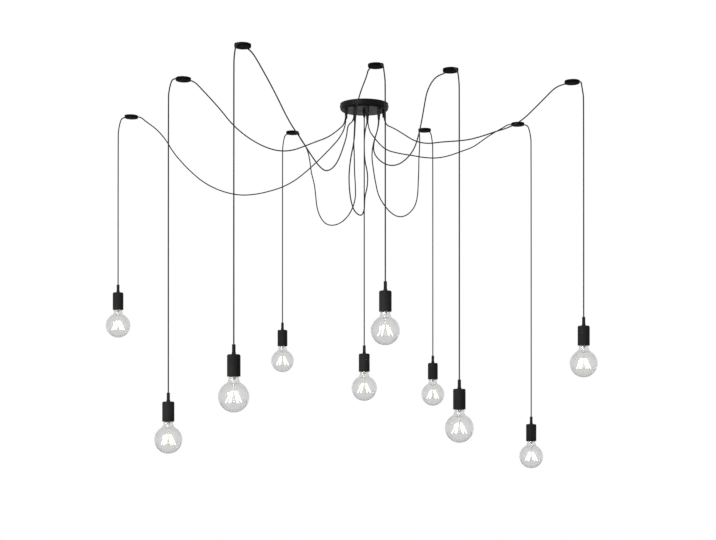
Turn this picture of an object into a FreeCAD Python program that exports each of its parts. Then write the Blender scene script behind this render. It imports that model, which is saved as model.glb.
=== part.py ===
import FreeCAD, Part
import math
import os
import re
import Sketcher
from FreeCAD import Placement, Rotation, Vector

# A cluster pendant: one round canopy with ten cords. Nine cords hang in swags to flat hooks on the
# ceiling and then drop to a lampholder with a clear globe bulb, and the tenth drops straight from
# the canopy. Millimetres. The origin is on the ceiling at the canopy's axis, Z points up, X to the
# right and Y away from the viewer.

SIZES = [
    ("canopy_r", 90, "outer radius of the canopy cover"),
    ("canopy_depth", 25, "depth of the canopy cover below the ceiling"),
    ("canopy_wall", 1.2, "sheet thickness of the canopy cover"),
    ("canopy_edge_r", 9, "outer radius of the canopy's lower edge"),
    ("ring_in", 18, "distance of the ring of cord grips from the canopy's side"),
    ("seat_gap", 0.2, "gap between pieces that slide into each other"),
    ("rest_gap", 0.3, "gap between pieces that move apart"),
    ("screw_gap", 0.05, "gap round a screw and beside a filament's ends"),
    ("thread_gap", 0.1, "gap round a grip's threaded end"),
    ("cord_d", 4.5, "diameter of the textile cord"),
    ("cord_gap", 0.2, "gap round the cord in a grip"),
    ("cord_entry_z", 16, "depth of the cords' ends inside the canopy"),
    ("bracket_w", 22, "width of the ceiling bracket"),
    ("bracket_t", 2, "thickness of the ceiling bracket"),
    ("ear_drop", 14, "height of the bracket's ears"),
    ("slot_pitch", 80, "distance between the bracket's slots"),
    ("slot_w", 5, "width of each slot"),
    ("slot_len", 20, "end to end length of each slot"),
    ("side_screw_r", 1.6, "radius of the screws in the canopy's side"),
    ("side_screw_len", 7, "length of those screws"),
    ("side_screw_z", 9, "depth of those screws below the ceiling"),
    ("side_head_r", 3.5, "radius of their heads"),
    ("side_head_t", 2, "thickness of their heads"),
    ("block_len", 30, "length of the terminal block"),
    ("block_w", 18, "width of the terminal block"),
    ("block_tall", 14, "height of the terminal block"),
    ("block_in", 4, "distance from the bracket's ear to the block"),
    ("pole_pitch", 9, "distance between the block's poles"),
    ("pole_bore_r", 2.2, "radius of the wire holes"),
    ("clamp_web", 1, "material between a wire hole and the clamp screw's hole above it"),
    ("clamp_sink", 1, "depth of a clamp screw's head in its hole"),
    ("peg_len", 25, "length of a canopy grip below the cover"),
    ("peg_tip_r", 3.8, "radius of a canopy grip at its tip"),
    ("peg_base_r", 6, "radius of a canopy grip at the cover"),
    ("thread_r", 4.8, "radius of the grips' threaded ends"),
    ("nut_r", 7.5, "corner radius of the lock nuts"),
    ("nut_t", 3.5, "thickness of the lock nuts"),
    ("thread_proud", 1, "length of a threaded end past its lock nut"),
    ("disc_r", 26, "outer radius of a ceiling hook's cap"),
    ("disc_depth", 10, "depth of a hook's cap"),
    ("disc_wall", 1.6, "side wall of a hook's cap"),
    ("disc_floor", 1.4, "floor of a hook's cap"),
    ("disc_edge_r", 2, "outer radius of the cap's lower edge"),
    ("base_t", 2.6, "thickness of a hook's base"),
    ("hook_bore_r", 2, "radius of the screw hole in a hook's base"),
    ("hook_sink_r", 3.6, "radius of that hole's countersink"),
    ("notch_r", 2.6, "radius of the cord notches in the cap"),
    ("notch_z", 6, "depth of the notches' centre"),
    ("lamp_grip_len", 30, "length of the tapered cord grip on a lampholder"),
    ("lamp_grip_top_r", 5.5, "radius of that grip above its foot"),
    ("lamp_grip_base_r", 7, "radius of that grip at the holder"),
    ("lamp_grip_foot", 8, "height of that grip's flared foot"),
    ("holder_r", 20.5, "outer radius of the lampholder's cover"),
    ("holder_len", 68, "height of the lampholder's cover"),
    ("holder_wall", 1.6, "wall of the lampholder's cover"),
    ("shoulder_r", 5.5, "outer radius of the cover's top edge"),
    ("insert_len", 36, "height of the socket insert"),
    ("insert_lift", 1, "height of the insert above the cover's rim"),
    ("insert_top", 6, "thickness of the insert's top wall"),
    ("sleeve_r", 14.3, "outer radius of the screw sleeve"),
    ("sleeve_crest_r", 13.4, "inner radius of the sleeve at its crests"),
    ("sleeve_root_r", 13.8, "inner radius of the sleeve at its roots"),
    ("sleeve_from", 3, "height of the sleeve's lower end above the rim"),
    ("screw_pitch", 3.6, "pitch of the lamp thread"),
    ("contact_r", 4, "radius of the centre contact"),
    ("cap_len", 27, "length of the bulb's metal cap"),
    ("cap_crest_r", 13.1, "radius of the cap at its crests"),
    ("cap_root_r", 12.5, "radius of the cap at its roots"),
    ("cap_skirt", 1, "plain length of the cap past its thread"),
    ("cap_tip_r", 4.8, "radius of the bulb's own contact"),
    ("cap_tip_len", 2, "height of that contact"),
    ("insulator_w", 2, "width of the insulator round it"),
    ("insulator_t", 1, "thickness of the insulator"),
    ("globe_r", 47.5, "radius of the bulb's globe"),
    ("globe_len", 109, "length of the glass below the holder"),
    ("glass_t", 1, "thickness of the glass"),
    ("neck_r", 17, "outer radius of the bulb's neck"),
    ("flare_r", 16, "radius of the curve from neck to globe"),
    ("mouth_r", 12.9, "outer radius of the glass where it meets the cap"),
    ("mouth_len", 3, "length of the glass from there to the neck"),
    ("stem_r", 1.6, "radius of the glass stem"),
    ("press_len", 14, "length of the stem's flared end"),
    ("stem_foot", 1, "height of the stem's foot at the cap"),
    ("filament_r", 1, "radius of a filament stick"),
    ("filament_len", 38, "length of a filament stick between its two wires"),
    ("filament_lean", 25, "lean of the sticks from upright, in degrees"),
    ("filament_top_r", 8, "distance of the sticks' upper ends from the axis"),
    ("wire_r", 0.5, "radius of the wires that hold the sticks to the stem"),
    ("stub_depth", 56, "depth where the middle cord's fixed part ends"),
    ("turn_depth", 75, "depth where a swag has turned to hang straight"),
]

# Each hook: centre on the ceiling, heading of the cord through it in degrees from X, distance from
# the centre to the hanging cord, and depth of the lampholder's grip below the ceiling.
HOOKS = {
    1: (-907, 191, 168, 55, 658),
    2: (-620, -382, 209, 54, 1075),
    3: (-378, -787, 245, 53, 925),
    4: (-295, 485, 139, 58, 790),
    6: (35, -556, 309, 48, 713),
    7: (250, 436, 45, 51, 929),
    8: (284, -500, 298, 53, 1031),
    9: (617, 323, 9, 56, 1177),
    10: (715, -344, 316, 47, 816),
}
MIDDLE_LAMP = 5
MIDDLE_HANG = 902
LAMPS = sorted(list(HOOKS) + [MIDDLE_LAMP])

# The canopy's ring of grips, counter-clockwise from X: the lamp that each one serves.
RING = [10, 7, 9, 4, 1, 2, 3, 6, 8]
RING_STEP = 360 / len(RING)

# Route of each swag, from its end inside the canopy, down and across to its hook, through the hook
# and over to the point where it hangs straight.
ROUTES = {
    1: [(-67.7, 24.6, -16), (-67.7, 24.6, -74), (-94, 36, -122), (-133, 44, -162),
        (-173, 51, -201), (-215, 59, -238), (-259, 67, -272), (-308, 77, -297), (-361, 87, -312),
        (-415, 97, -322), (-471, 108, -324), (-525, 118, -313), (-577, 129, -293),
        (-624, 138, -265), (-666, 146, -229), (-705, 155, -189), (-741, 163, -146),
        (-772, 169, -100), (-811, 174, -60), (-855, 177, -32), (-869.8, 183.1, -6.4),
        (-907, 191, -5.2), (-945.1, 199.1, -6.4), (-958.8, 202, -27), (-960.8, 202.4, -54),
        (-960.8, 202.4, -75)],
    2: [(-67.7, -24.6, -16), (-67.7, -24.6, -74), (-96, -55, -108), (-133, -78, -140),
        (-176, -103, -161), (-218, -129, -183), (-260, -156, -204), (-305, -185, -212),
        (-350, -214, -205), (-392, -242, -188), (-432, -269, -164), (-469, -294, -132),
        (-500, -316, -94), (-535, -334, -57), (-568, -347, -23), (-586.8, -363.6, -6.4),
        (-620, -382, -5.2), (-653.2, -400.4, -6.4), (-665.5, -407.2, -27), (-667.2, -408.2, -54),
        (-667.2, -408.2, -75)],
    3: [(-36, -62.4, -16), (-36, -62.4, -74), (-61, -104, -100), (-64, -136, -146),
        (-74, -171, -188), (-85, -209, -228), (-96, -250, -263), (-114, -292, -295),
        (-136, -340, -312), (-157, -390, -302), (-175, -440, -284), (-193, -488, -263),
        (-211, -535, -239), (-234, -578, -213), (-255, -618, -181), (-275, -654, -143),
        (-297, -685, -103), (-322, -709, -60), (-348, -729, -17), (-361.9, -752.6, -6.4),
        (-378, -787, -5.2), (-393.6, -820.5, -6.4), (-399.6, -833.2, -27), (-400.4, -835, -54),
        (-400.4, -835, -75)],
    4: [(-36, 62.4, -16), (-36, 62.4, -74), (-40, 81, -126), (-37, 96, -179), (-37, 111, -232),
        (-33, 131, -284), (-33, 153, -334), (-51, 182, -378), (-80, 218, -408), (-116, 258, -420),
        (-151, 300, -410), (-175, 337, -377), (-190, 366, -332), (-195, 389, -283),
        (-201, 409, -231), (-215, 425, -180), (-221, 438, -126), (-234, 445, -73),
        (-266, 445, -32), (-266.3, 460.1, -6.4), (-295, 485, -5.2), (-326.7, 512.6, -6.4),
        (-337.3, 521.7, -27), (-338.8, 523.1, -54), (-338.8, 523.1, -75)],
    6: [(12.5, -70.9, -16), (12.5, -70.9, -74), (1, -90, -125), (-1, -103, -179), (1, -120, -232),
        (12, -138, -283), (11, -161, -334), (0, -189, -380), (0, -223, -425), (-10, -267, -457),
        (-34, -318, -451), (-47, -364, -422), (-53, -402, -383), (-54, -434, -337),
        (-48, -457, -287), (-36, -476, -236), (-33, -493, -183), (-29, -506, -129),
        (-14, -513, -76), (5, -507, -28), (11.1, -526.5, -6.4), (35, -556, -5.2),
        (57.7, -584, -6.4), (63.9, -591.7, -27), (65.2, -593.3, -54), (65.2, -593.3, -75)],
    7: [(55.2, 46.3, -16), (55.2, 46.3, -74), (37, 65, -122), (28, 79, -174), (35, 95, -225),
        (44, 113, -276), (56, 137, -323), (83, 167, -360), (113, 205, -384), (146, 248, -389),
        (179, 287, -370), (206, 318, -334), (217, 342, -287), (220, 361, -236), (223, 377, -184),
        (224, 390, -131), (228, 396, -77), (227, 390, -29), (223.1, 409.1, -6.4), (250, 436, -5.2),
        (275.5, 461.5, -6.4), (284.6, 470.6, -27), (286.1, 472.1, -54), (286.1, 472.1, -75)],
    8: [(55.2, -46.3, -16), (55.2, -46.3, -74), (48, -78, -116), (34, -102, -163),
        (33, -131, -208), (56, -164, -244), (87, -202, -267), (119, -245, -272), (147, -289, -259),
        (171, -330, -234), (184, -367, -196), (193, -397, -153), (201, -419, -104),
        (210, -434, -54), (235, -447, -8), (266.2, -466.4, -6.4), (284, -500, -5.2),
        (301.4, -532.7, -6.4), (307.9, -545, -27), (308.9, -546.8, -54), (308.9, -546.8, -75)],
    9: [(12.5, 70.9, -16), (12.5, 70.9, -74), (43, 97, -112), (81, 116, -148), (133, 135, -158),
        (185, 154, -162), (236, 175, -167), (287, 196, -165), (336, 217, -151), (384, 237, -130),
        (432, 257, -110), (475, 275, -80), (513, 293, -44), (560, 310, -28), (579.5, 317.1, -6.4),
        (617, 323, -5.2), (656.5, 329.3, -6.4), (670.3, 331.4, -27), (672.3, 331.8, -54),
        (672.3, 331.8, -75)],
    10: [(72, 0, -16), (72, 0, -74), (111, -28, -96), (149, -49, -125), (188, -70, -154),
         (233, -94, -167), (280, -117, -165), (328, -141, -167), (375, -165, -167),
         (421, -189, -159), (467, -212, -147), (513, -234, -137), (556, -256, -116),
         (592, -276, -83), (628, -292, -48), (662, -303, -14), (687.7, -317.6, -6.4),
         (715, -344, -5.2), (740.9, -369, -6.4), (747.4, -375.3, -27), (748.8, -376.6, -54),
         (748.8, -376.6, -75)],
}
ARC_SHARE = 0.45        # part of the shorter run that an arc takes up

SLEEVE_TURNS = 6
CAP_TURNS = 5
FILAMENTS = 6
OVER = 1                # how far a cutting tool reaches past the face it cuts

# Outlines use these heights: the canopy's outer floor, and a lamp's rim below its grip's top.
FLOOR = "-canopy_depth"
RIM = "-(lamp_grip_len + holder_len)"
BORE = "(cord_d / 2 + cord_gap)"
INSERT_R = "(holder_r - holder_wall - seat_gap)"
RING_R = "(canopy_r - ring_in)"
GLOBE_Z = "(%s - globe_len + globe_r)" % RIM
BRACKET_HALF = "sqrt((canopy_r - canopy_wall - seat_gap)^2 - (bracket_w / 2)^2)"

doc = FreeCAD.newDocument("cluster_pendant")
sheet = doc.addObject("Spreadsheet::Sheet", "sizes")
nodes = {}


def fill_sheet():
    """Writes each size, its name and what it measures, one row each."""
    rows = list(SIZES) + [("hang_%d" % MIDDLE_LAMP, MIDDLE_HANG, "depth of the middle lamp's grip")]
    for k, (x, y, heading, reach, hang) in HOOKS.items():
        rows += [
            ("hook_x_%d" % k, x, "centre of hook %d along X" % k),
            ("hook_y_%d" % k, y, "centre of hook %d along Y" % k),
            ("heading_%d" % k, heading, "heading of the cord through hook %d" % k),
            ("reach_%d" % k, reach, "distance from hook %d's centre to its hanging cord" % k),
            ("hang_%d" % k, hang, "depth of lamp %d's grip below the ceiling" % k),
        ]
    for row, (name, value, note) in enumerate(rows, start=1):
        sheet.set("A%d" % row, name)
        sheet.set("B%d" % row, str(value))
        sheet.set("C%d" % row, note)
        sheet.setAlias("B%d" % row, name)
    doc.recompute()
    return {name for name, _, _ in rows}


SIZE_NAMES = fill_sheet()


def tied(rule):
    """An expression with each size's name pointing at the sheet."""
    return re.sub(r"[a-z]\w*", lambda m: "sizes." + m[0] if m[0] in SIZE_NAMES else m[0], rule)


def value(rule):
    """What an expression comes to with the sizes as they are."""
    return float(sheet.evalExpression(tied(rule)))


def tie(thing, **rules):
    """Ties properties to expressions. x, y, z and turn stand for the placement's parts."""
    paths = {"x": "Placement.Base.x", "y": "Placement.Base.y", "z": "Placement.Base.z",
             "turn": "Placement.Rotation.Angle"}
    for name, rule in rules.items():
        thing.setExpression(paths.get(name, name), tied(rule))
    return thing


# ---- building blocks ----

def plane(body, role):
    return [o for o in body.Origin.OriginFeatures if o.Role == role][0]


def outline(sketch, corners):
    """Draws a closed outline through corners (across, up) given as expressions. A corner that
    also has (radius, side) starts an arc: side 1 bulges to the right of the way to the next
    corner, -1 to the left."""
    at = [Vector(value(c[0]), value(c[1]), 0) for c in corners]
    ends = []
    for i, corner in enumerate(corners):
        here, there = at[i], at[(i + 1) % len(at)]
        if len(corner) == 2:
            sketch.addGeometry(Part.LineSegment(here, there))
            ends.append((1, 2))
            continue
        radius, side = value(corner[2]), corner[3]
        chord = there - here
        across = Vector(chord.y, -chord.x, 0).normalize()
        depth = math.sqrt(max(radius ** 2 - (chord.Length / 2) ** 2, 0))
        centre = (here + there) * 0.5 - across * (side * depth)
        first, last = (here, there) if side > 0 else (there, here)
        angles = [math.atan2(p.y - centre.y, p.x - centre.x) for p in (first, last)]
        circle = Part.Circle(centre, Vector(0, 0, 1), radius)
        sketch.addGeometry(Part.ArcOfCircle(circle, angles[0], angles[1]))
        ends.append((1, 2) if side > 0 else (2, 1))
    for i in range(len(corners)):
        j = (i + 1) % len(corners)
        sketch.addConstraint(Sketcher.Constraint("Coincident", i, ends[i][1], j, ends[j][0]))
    for i, corner in enumerate(corners):
        for way, rule, size in (("X", corner[0], at[i].x), ("Y", corner[1], at[i].y)):
            number = sketch.addConstraint(
                Sketcher.Constraint("Distance" + way, -1, 1, i, ends[i][0], size))
            name = "corner_%d_%s" % (i, way)
            sketch.renameConstraint(number, name)
            sketch.setExpression("Constraints." + name, tied(rule))
        if len(corner) > 2:
            number = sketch.addConstraint(Sketcher.Constraint("Radius", i, value(corner[2])))
            sketch.renameConstraint(number, "radius_%d" % i)
            sketch.setExpression("Constraints.radius_%d" % i, tied(corner[2]))


def drawn(name, role, corners):
    """A body with one sketched outline on one of its planes."""
    body = doc.addObject("PartDesign::Body", name)
    sketch = body.newObject("Sketcher::SketchObject", name + "_outline")
    sketch.AttachmentSupport = (plane(body, role), "")
    sketch.MapMode = "FlatFace"
    outline(sketch, corners)
    return body, sketch


def turned(name, corners):
    """A body turned about Z from an outline of (radius, height) corners."""
    body, sketch = drawn(name, "XZ_Plane", corners)
    turn = body.newObject("PartDesign::Revolution", name + "_turn")
    turn.Profile = sketch
    turn.ReferenceAxis = (sketch, ["V_Axis"])
    turn.Angle = 360
    return body


def padded(name, role, corners, thickness):
    """A body padded to both sides of an outline on the given plane."""
    body, sketch = drawn(name, role, corners)
    pad = body.newObject("PartDesign::Pad", name + "_pad")
    pad.Profile = sketch
    pad.Midplane = True
    tie(pad, Length=thickness)
    return body


def cylinder(name, radius, height, **place):
    rod = doc.addObject("Part::Cylinder", name)
    return tie(rod, Radius=radius, Height=height, **place)


def lying(rod):
    """Lays an upright primitive down, from its place towards +X."""
    rod.Placement = Placement(rod.Placement.Base, Rotation(Vector(0, 1, 0), 90))
    return rod


def cut(name, base, tool):
    piece = doc.addObject("Part::Cut", name)
    piece.Base = base
    piece.Tool = tool
    return piece


def fused(name, parts):
    piece = doc.addObject("Part::MultiFuse", name)
    piece.Shapes = parts
    return piece


def group(name, parts):
    bundle = doc.addObject("Part::Compound", name)
    bundle.Links = parts
    return bundle


def copy(name, master, **place):
    """The same piece again in another place."""
    link = doc.addObject("App::Link", name)
    link.LinkedObject = master
    return tie(link, **place)


def node(name, piece):
    """Marks a sub-part for export under its own name."""
    piece.Label = name
    nodes[name] = piece
    return piece


# ---- canopy ----

def ring_place(number):
    """Where a grip of the canopy's ring stands, as expressions."""
    angle = number * RING_STEP
    return {"x": "%s * cos(%g)" % (RING_R, angle), "y": "%s * sin(%g)" % (RING_R, angle)}


def bracket():
    half, t, ear = BRACKET_HALF, "bracket_t", "-ear_drop"
    bar = padded("bracket_bar", "XZ_Plane", [
        ("-" + half, "0"), (half, "0"), (half, ear), (half + " - " + t, ear),
        (half + " - " + t, "-" + t), (t + " - " + half, "-" + t), (t + " - " + half, ear),
        ("-" + half, ear)], "bracket_w")
    reach, side, tip = "(slot_len / 2 - slot_w / 2)", "slot_w / 2", "slot_len / 2"
    slot = padded("bracket_slot", "XY_Plane", [
        ("-" + reach, "-" + side), (reach, "-" + side, side, 1), (tip, "0", side, 1),
        (reach, side), ("-" + reach, side, side, 1), ("-" + tip, "0", side, 1)],
        "4 * bracket_t")
    slots = [copy("slot_%d" % n, slot, x="%d * slot_pitch / 2" % n) for n in (-1, 1)]
    holes = lying(cylinder("ear_holes", "side_screw_r + screw_gap", "2 * canopy_r",
                           x="-canopy_r", z="-side_screw_z"))
    node("ceiling_bracket", cut("ceiling_bracket", bar, group("bracket_holes", slots + [holes])))


def canopy_cover():
    r, wall, edge = "canopy_r", "canopy_wall", "canopy_edge_r"
    dish = turned("canopy_dish", [
        ("0", FLOOR), (r + " - " + edge, FLOOR, edge, 1), (r, FLOOR + " + " + edge), (r, "0"),
        (r + " - " + wall, "0"), (r + " - " + wall, FLOOR + " + " + edge, edge + " - " + wall, -1),
        (r + " - " + edge, FLOOR + " + " + wall), ("0", FLOOR + " + " + wall)])
    spots = [{}] + [ring_place(number) for number in range(len(RING))]
    holes = [cylinder("cord_hole_%d" % n, "thread_r + thread_gap", "4 * canopy_wall",
                      z=FLOOR + " - canopy_wall", **spot) for n, spot in enumerate(spots)]
    side = lying(cylinder("side_holes", "side_screw_r + seat_gap",
                          "2 * canopy_r + %d" % (2 * OVER), x="-canopy_r - %d" % OVER,
                          z="-side_screw_z"))
    node("canopy_cover", cut("canopy_cover", dish, group("canopy_holes", holes + [side])))


def cover_screws():
    """Two screws that hold the cover to the bracket's ears."""
    body = turned("side_screw", [
        ("0", "-side_screw_len"), ("side_screw_r", "-side_screw_len"), ("side_screw_r", "0"),
        ("side_head_r", "0"), ("side_head_r", "side_head_t / 2", "side_head_t * 2", -1),
        ("0", "side_head_t")])
    right = copy("cover_screw_right", body, x="canopy_r + screw_gap", z="-side_screw_z")
    left = copy("cover_screw_left", body, x="-canopy_r - screw_gap", z="-side_screw_z")
    for screw, lean in ((right, 90), (left, -90)):
        screw.Placement = Placement(screw.Placement.Base, Rotation(Vector(0, 1, 0), lean))
    node("cover_screws", group("cover_screws", [right, left]))


def terminal_block():
    """A three-pole block under the bracket, with wire holes across and clamp screws below."""
    box = doc.addObject("Part::Box", "block_body")
    tie(box, Length="block_len", Width="block_w", Height="block_tall",
        x="block_in + bracket_t - " + BRACKET_HALF, y="-block_w / 2",
        z="-bracket_t - block_tall")
    middle = "block_in + bracket_t + block_len / 2 - " + BRACKET_HALF
    deep = "block_tall / 2 - pole_bore_r - clamp_web"
    holes, screws = [], []
    for n in (-1, 0, 1):
        place = {"x": middle + " + %d * pole_pitch" % n}
        hole = cylinder("pole_hole_%d" % n, "pole_bore_r", "block_w + %d" % (2 * OVER),
                        y="-block_w / 2 - %d" % OVER, z="-bracket_t - block_tall / 2", **place)
        hole.Placement = Placement(hole.Placement.Base, Rotation(Vector(1, 0, 0), -90))
        holes.append(hole)
        for side in (-1, 1):
            place["y"] = "%d * block_w / 4" % side
            low = "-bracket_t - block_tall"
            holes.append(cylinder("clamp_hole_%d_%d" % (n, side), "pole_bore_r", deep, z=low,
                                  **place))
            screws.append(cylinder("clamp_screw_%d_%d" % (n, side), "pole_bore_r - screw_gap",
                                   deep + " - clamp_sink", z=low + " + clamp_sink", **place))
    body = cut("block_cut", box, group("block_holes", holes))
    node("terminal_block", group("terminal_block", [body] + screws))


def lock_nut(name, top):
    """A hexagonal nut on a grip's threaded end, with its upper face at top."""
    hexagon = doc.addObject("Part::Prism", name + "_hexagon")
    hexagon.Polygon = 6
    tie(hexagon, Circumradius="nut_r", Height="nut_t", z=top + " - nut_t")
    hole = cylinder(name + "_hole", "thread_r", "nut_t + %d" % (2 * OVER),
                    z=top + " - nut_t - %d" % OVER)
    return cut(name, hexagon, hole)


def canopy_grips():
    """Ten tapered grips with lock nuts: one in the middle and nine on the ring."""
    top = FLOOR + " + canopy_wall + nut_t"
    peg = turned("peg", [
        (BORE, FLOOR + " - peg_len"), ("peg_tip_r", FLOOR + " - peg_len"), ("peg_base_r", FLOOR),
        ("thread_r", FLOOR), ("thread_r", top + " + thread_proud"),
        (BORE, top + " + thread_proud")])
    nut = lock_nut("peg_nut", top)
    pair = group("peg_and_nut", [peg, nut])
    spots = [{}] + [ring_place(number) for number in range(len(RING))]
    pegs = [copy("peg_%d" % n, pair, **spot) for n, spot in enumerate(spots)]
    node("canopy_cord_grips", group("canopy_cord_grips", pegs))


# ---- ceiling hooks ----

def hook_place(k):
    return {"x": "hook_x_%d" % k, "y": "hook_y_%d" % k, "turn": "heading_%d" % k}


def hooks():
    """Nine flat hooks: a base with a countersunk screw hole, and a cap with two cord notches."""
    base = turned("hook_base", [
        ("hook_bore_r", "0"), ("disc_r - disc_wall - seat_gap", "0"),
        ("disc_r - disc_wall - seat_gap", "-base_t"), ("hook_sink_r", "-base_t"),
        ("hook_bore_r", "hook_sink_r - hook_bore_r - base_t")])
    cup = turned("hook_cup", [
        ("0", "-disc_depth"), ("disc_r - disc_edge_r", "-disc_depth", "disc_edge_r", 1),
        ("disc_r", "disc_edge_r - disc_depth"), ("disc_r", "0"), ("disc_r - disc_wall", "0"),
        ("disc_r - disc_wall", "disc_floor - disc_depth"), ("0", "disc_floor - disc_depth")])
    channel = doc.addObject("Part::Box", "notch_channel")
    across, start = "2 * disc_r + %d" % (2 * OVER), "-disc_r - %d" % OVER
    tie(channel, Length=across, Width="2 * notch_r", Height="notch_z + %d" % OVER, x=start,
        y="-notch_r", z="-notch_z")
    root = lying(cylinder("notch_root", "notch_r", across, x=start, z="-notch_z"))
    cap = cut("hook_cap", cup, fused("notches", [channel, root]))
    bases = [copy("hook_base_%d" % k, base, **hook_place(k)) for k in HOOKS]
    caps = [copy("hook_cap_%d" % k, cap, **hook_place(k)) for k in HOOKS]
    node("hook_bases", group("hook_bases", bases))
    node("hook_caps", group("hook_caps", caps))


# ---- cords ----

def route_edges(name, points):
    """Straight runs joined by tangent arcs, each as large as its two runs allow."""
    points = [Vector(*p) for p in points]
    edges, radii, start = [], [], points[0]
    for before, corner, after in zip(points, points[1:], points[2:]):
        back, ahead = before - corner, after - corner
        reach = ARC_SHARE * min(back.Length, ahead.Length)
        back.normalize()
        ahead.normalize()
        half_turn = (math.pi - back.getAngle(ahead)) / 2
        radius = reach / math.tan(half_turn)
        inward = (back + ahead).normalize()
        middle = corner + inward * (radius / math.cos(half_turn) - radius)
        first, last = corner + back * reach, corner + ahead * reach
        edges.append(Part.LineSegment(start, first).toShape())
        edges.append(Part.Arc(first, middle, last).toShape())
        radii.append(radius)
        start = last
    edges.append(Part.LineSegment(start, points[-1]).toShape())
    print("%s: %d points, radii %s mm" % (name, len(points), [round(r) for r in radii]))
    return edges


def swag_cord(k):
    """The tube of one swag, swept along its route."""
    route = doc.addObject("Part::Feature", "route_%d" % k)
    route.Shape = Part.Wire(route_edges("swag_cord_%d" % k, ROUTES[k]))
    ring = doc.addObject("Part::Circle", "cord_section_%d" % k)
    ring.Placement.Base = Vector(*ROUTES[k][0])
    tie(ring, Radius="cord_d / 2")
    tube = doc.addObject("Part::Sweep", "swag_cord_%d" % k)
    tube.Sections = [ring]
    tube.Spine = (route, ["Edge%d" % (n + 1) for n in range(len(route.Shape.Edges))])
    tube.Solid = True
    node("swag_cord_%d" % k, tube)


def middle_cord():
    """The fixed end of the cord that drops straight from the canopy."""
    stub = cylinder("middle_cord", "cord_d / 2", "stub_depth - cord_entry_z", z="-stub_depth")
    node("swag_cord_%d" % MIDDLE_LAMP, stub)


def pivot_depth(k):
    """Depth of the point that a hanging cord swings about, a half-round below the fixed end."""
    return ("stub_depth" if k == MIDDLE_LAMP else "turn_depth") + " + cord_d / 2 + rest_gap"


def lamp_place(k):
    """Where a hanging cord's line is, as expressions."""
    if k == MIDDLE_LAMP:
        return {"x": "0", "y": "0"}
    return {"x": "hook_x_%d + reach_%d * cos(heading_%d)" % (k, k, k),
            "y": "hook_y_%d + reach_%d * sin(heading_%d)" % (k, k, k)}


def drop_cord(k):
    """The straight cord from the pivot through the lampholder's grip to the socket insert."""
    foot = "-hang_%d - lamp_grip_len - holder_len + insert_len" % k
    rod = cylinder("drop_rod_%d" % k, "cord_d / 2", "-(%s) - (%s)" % (pivot_depth(k), foot),
                   z=foot, **lamp_place(k))
    top = doc.addObject("Part::Sphere", "drop_top_%d" % k)
    tie(top, Radius="cord_d / 2", z="-(%s)" % pivot_depth(k), **lamp_place(k))
    node("drop_cord_%d" % k, fused("drop_cord_%d" % k, [rod, top]))


# ---- lampholder ----

def holder_cover():
    """The plain cylindrical cover with the tapered cord grip and its lock nut."""
    top, r, wall = "-lamp_grip_len", "holder_r", "holder_wall"
    shell = turned("holder_shell", [
        ("thread_r + thread_gap", top), ("thread_r + thread_gap", top + " - " + wall),
        (r + " - shoulder_r", top + " - " + wall, "shoulder_r - " + wall, -1),
        (r + " - " + wall, top + " - shoulder_r"), (r + " - " + wall, RIM), (r, RIM),
        (r, top + " - shoulder_r", "shoulder_r", 1), (r + " - shoulder_r", top)])
    under = top + " - " + wall + " - nut_t - thread_proud"
    grip = turned("holder_grip", [
        (BORE, "0"), (BORE, under), ("thread_r", under), ("thread_r", top),
        ("lamp_grip_base_r", top), ("lamp_grip_top_r", top + " + lamp_grip_foot"),
        ("lamp_grip_top_r", "0")])
    nut = lock_nut("holder_nut", top + " - " + wall)
    return group("holder_cover", [shell, grip, nut])


def thread(root, crest, start, turns):
    """Corners of a rolled thread's side, climbing from start."""
    corners = []
    for n in range(turns):
        foot = "%s + %d * screw_pitch" % (start, n)
        corners.append((root, foot))
        corners.append((crest, foot + " + screw_pitch / 2"))
    corners.append((root, "%s + %d * screw_pitch" % (start, turns)))
    return corners


def socket_insert():
    """The insulating body, the screw sleeve and the centre contact."""
    low, high = RIM + " + insert_lift", RIM + " + insert_len"
    ceiling = high + " - insert_top"
    body = turned("insert_body", [
        ("sleeve_r", low), (INSERT_R, low), (INSERT_R, high), ("0", high), ("0", ceiling),
        ("sleeve_r", ceiling)])
    inner = thread("sleeve_root_r", "sleeve_crest_r", RIM + " + sleeve_from", SLEEVE_TURNS)
    sleeve = turned("screw_sleeve", inner + [
        ("sleeve_r", "%s + sleeve_from + %d * screw_pitch" % (RIM, SLEEVE_TURNS)),
        ("sleeve_r", RIM + " + sleeve_from")])
    tip = RIM + " + cap_len + rest_gap"
    contact = cylinder("centre_contact", "contact_r", "insert_len - insert_top - cap_len - rest_gap",
                       z=tip)
    return group("socket_insert", [body, sleeve, contact])


# ---- bulb ----

def envelope(grow):
    """Corners of the glass's side from the bottom up, moved inwards by grow."""
    span = "(globe_r + flare_r)"
    out = "(neck_r + flare_r)"
    lift = "sqrt(%s^2 - %s^2)" % (span, out)
    ball = "(globe_r - %s)" % grow
    return [
        ("0", GLOBE_Z + " - " + ball, ball, 1),
        (ball, GLOBE_Z, ball, 1),
        ("%s * %s / %s" % (ball, out, span), "%s + %s * %s / %s" % (GLOBE_Z, ball, lift, span),
         "flare_r + " + grow, -1),
        ("neck_r - " + grow, GLOBE_Z + " + " + lift),
        ("neck_r - " + grow, RIM + " - mouth_len"),
        ("mouth_r - " + grow, RIM)]


def backwards(corners):
    """The same outline run the other way, so that each arc starts at its other end."""
    result = []
    for n in range(len(corners) - 1, -1, -1):
        arc = corners[n - 1][2:] if n else ()
        result.append(corners[n][:2] + ((arc[0], -arc[1]) if arc else ()))
    return result


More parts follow.
